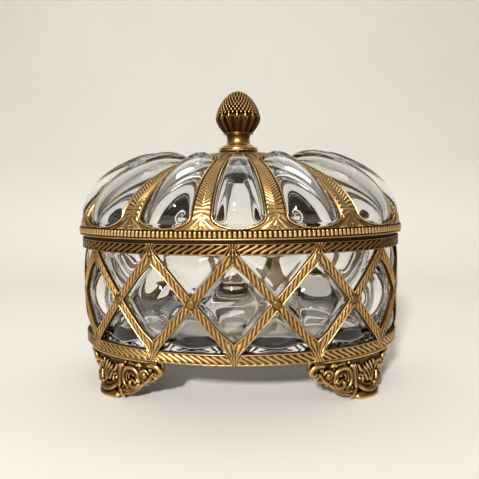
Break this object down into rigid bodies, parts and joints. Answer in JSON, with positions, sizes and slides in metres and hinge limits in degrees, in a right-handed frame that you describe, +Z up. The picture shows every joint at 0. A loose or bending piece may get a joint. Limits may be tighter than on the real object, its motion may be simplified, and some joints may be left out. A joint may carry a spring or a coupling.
{
  "type": "trinket box",
  "caption": "Oval glass trinket box in a diamond-lattice brass cage on scroll feet, with a lobed glass lid in a pierced brass frame and a pine-cone knob.",
  "frame": {"origin": "on the table, under the middle of the box", "axes": "+X along the length, +Y to the back, +Z up"},
  "size_m": [0.164, 0.123, 0.1445],
  "materials": {
    "gilt_brass": "antique gilt, chased and burnished on the high points, dark in the recesses",
    "dark_brass": "plain unpolished brass",
    "clear_glass": "clear thick blown glass"
  },
  "bodies": {
    "box_body": {"glass_bowl": "clear_glass", "upper_band": "gilt_brass", "lower_band": "gilt_brass", "base_ring": "dark_brass", "lattice_strap_rising_01": "gilt_brass", "lattice_strap_rising_02": "gilt_brass", "lattice_strap_rising_03": "gilt_brass", "lattice_strap_rising_04": "gilt_brass", "lattice_strap_rising_05": "gilt_brass", "lattice_strap_rising_06": "gilt_brass", "lattice_strap_rising_07": "gilt_brass", "lattice_strap_rising_08": "gilt_brass", "lattice_strap_rising_09": "gilt_brass", "lattice_strap_rising_10": "gilt_brass", "lattice_strap_rising_11": "gilt_brass", "lattice_strap_rising_12": "gilt_brass", "lattice_strap_falling_01": "gilt_brass", "lattice_strap_falling_02": "gilt_brass", "lattice_strap_falling_03": "gilt_brass", "lattice_strap_falling_04": "gilt_brass", "lattice_strap_falling_05": "gilt_brass", "lattice_strap_falling_06": "gilt_brass", "lattice_strap_falling_07": "gilt_brass", "lattice_strap_falling_08": "gilt_brass", "lattice_strap_falling_09": "gilt_brass", "lattice_strap_falling_10": "gilt_brass", "lattice_strap_falling_11": "gilt_brass", "lattice_strap_falling_12": "gilt_brass", "crossing_rivets": "gilt_brass", "foot_front_right": "gilt_brass", "foot_back_right": "gilt_brass", "foot_back_left": "gilt_brass", "foot_front_left": "gilt_brass", "foot_screws": "dark_brass"},
    "lid": {"lid_rim": "gilt_brass", "lid_frame": "gilt_brass", "lid_glass": "clear_glass", "lid_locating_ring": "dark_brass", "finial_cone": "gilt_brass", "finial_neck": "gilt_brass", "finial_stud": "dark_brass", "lid_washer": "dark_brass", "finial_nut": "dark_brass"}
  },
  "joints": [
    {"name": "lid_lift", "type": "slide", "parent": "box_body", "child": "lid", "axis": [0, 0, 1], "range_m": [0, 0.12]}
  ]
}
